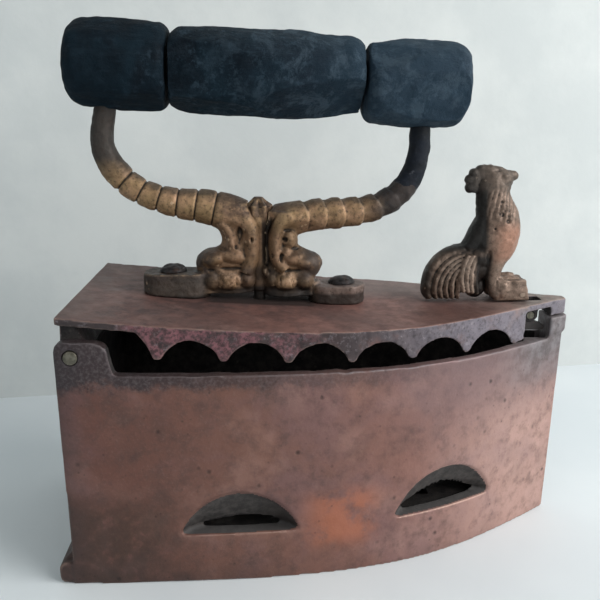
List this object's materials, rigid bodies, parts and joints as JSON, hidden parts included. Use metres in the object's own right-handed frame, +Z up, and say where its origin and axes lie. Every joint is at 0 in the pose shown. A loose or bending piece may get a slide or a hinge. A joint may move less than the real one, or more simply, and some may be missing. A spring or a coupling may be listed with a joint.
{
  "type": "charcoal box iron",
  "caption": "Hollow cast brass clothes iron heated by charcoal: hinged scalloped lid, rooster latch, draught holes in the flanks, two cast arms and a black wooden grip.",
  "frame": {"origin": "on the flat of the sole, on the centre line, below the foot of the heel wall", "axes": "+X from heel to nose, +Z up, Y = 0 is the plane of symmetry"},
  "size_m": [0.2076, 0.0968, 0.2081],
  "materials": {
    "cast_brass_body": "worn cast brass, brown patina",
    "cast_brass_lid": "worn cast brass, brown patina, sooted",
    "cast_brass_arm": "cast brass, ochre patina",
    "cast_brass_rooster": "cast brass, dark in the hollows",
    "pin_brass": "plain brass rod",
    "dark_iron": "blackened wrought iron",
    "grate_iron": "rusted cast iron",
    "black_wood": "matt blue-black painted wood"
  },
  "bodies": {
    "base": {"body_shell": "cast_brass_body", "hinge_pin": "pin_brass"},
    "grate": {"fire_grate": "grate_iron"},
    "lid": {"lid_plate": "cast_brass_lid", "rear_handle_arm": "cast_brass_arm", "front_handle_arm": "cast_brass_arm", "centre_finial": "cast_brass_arm", "finial_nut": "dark_iron", "foot_bolts": "dark_iron", "foot_washers": "dark_iron", "foot_nuts": "dark_iron", "rear_grip_block": "black_wood", "centre_grip": "black_wood", "front_grip_block": "black_wood", "grip_rod": "dark_iron", "grip_rod_washers": "dark_iron", "latch_pivot_pin": "dark_iron"},
    "rooster_latch": {"rooster": "cast_brass_rooster", "latch_tongue": "dark_iron", "tongue_rivet": "pin_brass"}
  },
  "joints": [
    {"name": "lid_hinge", "type": "hinge", "parent": "base", "child": "lid", "pos_m": [0.006, 0, 0.0915], "axis": [0, -1, 0], "range_deg": [0, 115]},
    {"name": "latch_tip", "type": "hinge", "parent": "lid", "child": "rooster_latch", "pos_m": [0.184, 0, 0.0922], "axis": [0, 1, 0], "range_deg": [0, 25]},
    {"name": "grate_lift", "type": "slide", "parent": "base", "child": "grate", "axis": [0, 0, 1], "range_m": [0, 0.055]}
  ]
}
